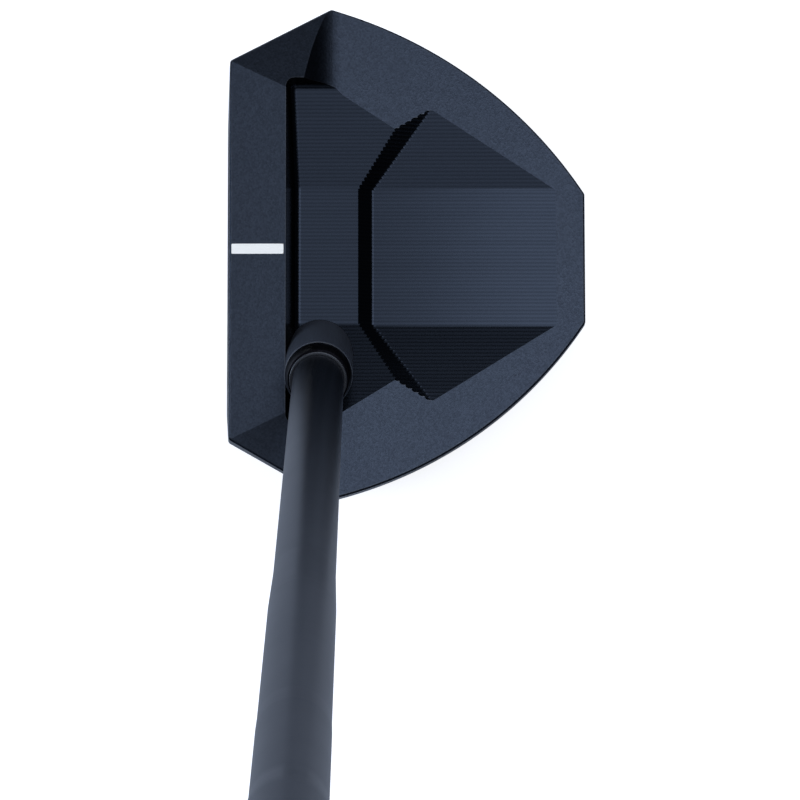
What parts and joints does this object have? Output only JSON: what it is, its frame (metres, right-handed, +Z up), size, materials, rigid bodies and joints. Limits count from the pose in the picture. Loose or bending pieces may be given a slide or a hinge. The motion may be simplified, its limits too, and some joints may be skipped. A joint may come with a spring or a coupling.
{
  "type": "mallet putter",
  "caption": "Mallet putter with a milled, pocketed head, a sight line on the front bar, a heel-side hosel collar, a stepped shaft and a flat-fronted grip.",
  "frame": {"origin": "on the ground, on the sole plate's outer face, behind the sight line", "axes": "+Z up from the ground, +X from the face to the rear of the head, +Y from the heel to the toe"},
  "size_m": [0.068, 0.3678, 0.8157],
  "materials": {
    "anodised_black": "bead-blasted and raster-milled, black anodised",
    "insert_black": "fly-milled, black anodised",
    "bond": "elastomer",
    "white_paint": "enamel fill",
    "sole_steel": "black PVD, brushed",
    "screw_steel": "black oxide",
    "heavy_metal": "turned, dark plated",
    "collar_satin": "satin black PVD",
    "ferrule_black": "polished black",
    "trim_metal": "dark polished",
    "shaft_satin": "satin black PVD",
    "plug": "moulded",
    "tape": "double-sided tape",
    "grip_foam": "EVA foam",
    "grip_rubber": "textured elastomer",
    "cap_plastic": "moulded"
  },
  "bodies": {
    "root": {"head_body": "anodised_black", "face_insert": "insert_black", "insert_pad": "bond", "sight_line": "white_paint", "sole_plate": "sole_steel", "sole_gasket": "bond", "sole_screws": "screw_steel", "core_weight": "heavy_metal", "toe_weight": "heavy_metal", "toe_weight_washer": "bond", "heel_weight": "heavy_metal", "heel_weight_washer": "bond", "hosel_collar": "collar_satin", "ferrule": "ferrule_black", "trim_ring": "trim_metal", "shaft": "shaft_satin", "shaft_tip_plug": "plug", "grip_tape": "tape", "grip_core": "grip_foam", "grip_skin": "grip_rubber", "grip_cap": "cap_plastic", "butt_weight": "heavy_metal"}
  },
  "joints": []
}
